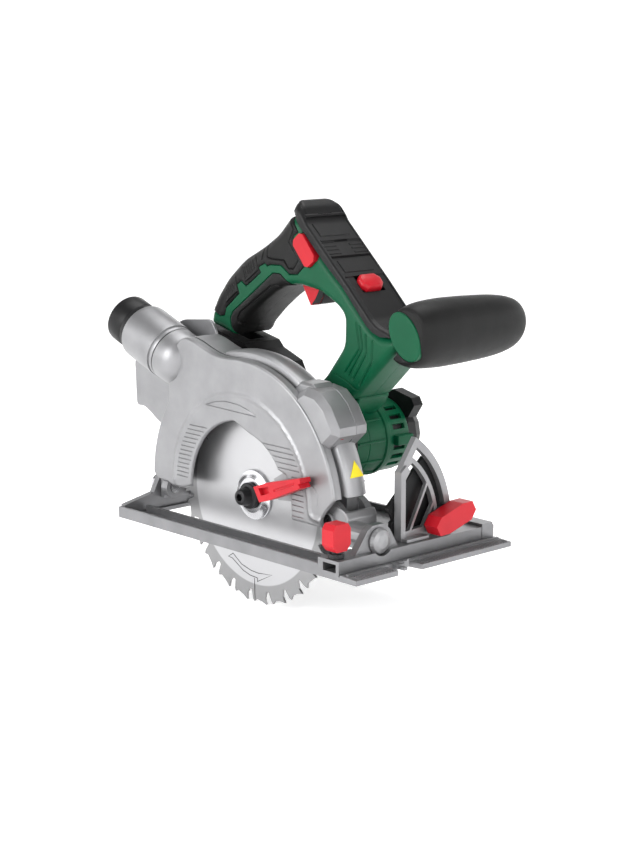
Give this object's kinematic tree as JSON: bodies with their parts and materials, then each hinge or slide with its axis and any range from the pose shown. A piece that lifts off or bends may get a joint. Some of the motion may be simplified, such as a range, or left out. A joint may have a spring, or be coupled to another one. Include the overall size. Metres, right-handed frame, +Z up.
{
  "type": "cordless circular saw",
  "caption": "Compact circular saw: tilting sole, guarded blade, swinging lower guard, dust port, D grip with trigger, front side handle.",
  "frame": {"origin": "underside of the sole below the front crossbar, on the line of cut", "axes": "+X forward in the cutting direction, +Y to the left (motor side), +Z up from the sole"},
  "size_m": [0.2915, 0.1744, 0.2692],
  "materials": {
    "sole_casting": "satin",
    "grey_casting": "satin",
    "bright_steel": "brushed",
    "black_steel": "satin",
    "red_plastic": "satin",
    "black_plastic": "fine texture",
    "soft_rubber": "matte",
    "green_plastic": "satin",
    "copper_parts": "satin",
    "light_lens": "clear"
  },
  "bodies": {
    "base": {"base_plate": "sole_casting", "bevel_quadrant": "grey_casting", "front_bevel_pin": "bright_steel", "rear_bevel_pin": "bright_steel"},
    "fence_screw": {"fence_stud": "black_steel", "fence_knob": "red_plastic"},
    "carriage": {"bevel_bracket": "grey_casting", "bevel_plate": "black_plastic", "rear_bracket": "grey_casting", "depth_arc": "bright_steel", "depth_pivot_pin": "black_steel"},
    "bevel_clamp": {"bevel_bolt": "black_steel", "bevel_knob": "red_plastic"},
    "saw": {"guard_cover": "grey_casting", "guard_body": "grey_casting", "dust_elbow": "grey_casting", "dust_collar": "grey_casting", "dust_adapter": "soft_rubber", "spindle_bearing_front": "bright_steel", "spindle_bearing_rear": "bright_steel", "field_can": "black_steel", "brush_1": "copper_parts", "brush_2": "copper_parts", "motor_bearing_front": "bright_steel", "motor_bearing_rear": "bright_steel", "drive_housing": "black_plastic", "motor_housing": "green_plastic", "motor_end_cap": "black_plastic", "handle_right": "green_plastic", "handle_left": "green_plastic", "grip_pad_front": "soft_rubber", "grip_pad_back": "soft_rubber", "top_cover": "black_plastic", "aux_handle_core": "green_plastic", "aux_handle_grip": "soft_rubber", "trigger_switch": "black_plastic", "light_housing": "grey_casting", "light_cover": "grey_casting", "light_lens": "light_lens", "depth_bolt": "black_steel"},
    "spindle": {"spindle": "bright_steel", "saw_blade": "bright_steel", "inner_flange": "bright_steel", "outer_flange": "bright_steel", "blade_bolt": "black_steel", "driven_gear": "bright_steel"},
    "motor": {"armature": "copper_parts", "pinion": "bright_steel", "motor_fan": "black_plastic"},
    "lower_guard": {"lower_guard": "grey_casting", "guard_lever": "red_plastic"},
    "trigger": {"trigger": "red_plastic"},
    "lock_button": {"lock_button": "red_plastic"},
    "light_button": {"light_button": "red_plastic"},
    "battery": {"battery_pack": "black_plastic"},
    "battery_latch": {"battery_latch": "red_plastic"},
    "depth_clamp": {"depth_lever": "red_plastic"}
  },
  "joints": [
    {"name": "bevel_tilt", "type": "hinge", "parent": "base", "child": "carriage", "pos_m": [0, -0.002, 0.018], "axis": [1, 0, 0], "range_deg": [0, 45]},
    {"name": "fence_screw_turn", "type": "hinge", "parent": "base", "child": "fence_screw", "pos_m": [0.0012, -0.034, 0.02], "axis": [0, 0, 1], "range_deg": [-180, 180]},
    {"name": "bevel_clamp_turn", "type": "hinge", "parent": "carriage", "child": "bevel_clamp", "pos_m": [0.005, 0.05976, 0.0234], "axis": [1, 0, 0], "range_deg": [-30, 0]},
    {"name": "cutting_depth", "type": "hinge", "parent": "carriage", "child": "saw", "pos_m": [-0.033, 0.005, 0.025], "axis": [0, 1, 0], "range_deg": [0, 34]},
    {"name": "depth_clamp_turn", "type": "hinge", "parent": "saw", "child": "depth_clamp", "pos_m": [-0.16749, 0.023, 0.03677], "axis": [0, 1, 0], "range_deg": [-25, 25]},
    {"name": "blade_spin", "type": "hinge", "parent": "saw", "child": "spindle", "pos_m": [-0.113, 0, 0.027], "axis": [0, 1, 0], "continuous": true},
    {"name": "motor_spin", "type": "hinge", "parent": "saw", "child": "motor", "pos_m": [-0.086, 0.06, 0.061], "axis": [0, 1, 0], "continuous": true},
    {"name": "guard_swing", "type": "hinge", "parent": "saw", "child": "lower_guard", "pos_m": [-0.113, 0, 0.027], "axis": [0, -1, 0], "range_deg": [0, 160]},
    {"name": "trigger_pull", "type": "hinge", "parent": "saw", "child": "trigger", "pos_m": [-0.091, 0.047, 0.168], "axis": [0, 1, 0], "range_deg": [0, 8], "stiffness_Nm_per_rad": 1, "springref_deg": -5.73},
    {"name": "lock_press", "type": "slide", "parent": "saw", "child": "lock_button", "axis": [0, 1, 0], "range_m": [0, 0.0025], "stiffness_N_per_m": 500, "springref_m": -0.001},
    {"name": "light_press", "type": "slide", "parent": "saw", "child": "light_button", "axis": [-0.7071, 0, -0.7071], "range_m": [0, 0.0015], "stiffness_N_per_m": 500, "springref_m": -0.001},
    {"name": "battery_slide", "type": "slide", "parent": "saw", "child": "battery", "axis": [-1, 0, 0], "range_m": [0, 0.085]},
    {"name": "latch_press", "type": "slide", "parent": "battery", "child": "battery_latch", "axis": [1, 0, 0], "range_m": [0, 0.002], "stiffness_N_per_m": 500, "springref_m": -0.001}
  ],
  "couplings": [
    {"joint": "motor_spin", "follows": "blade_spin", "ratio": -5}
  ]
}
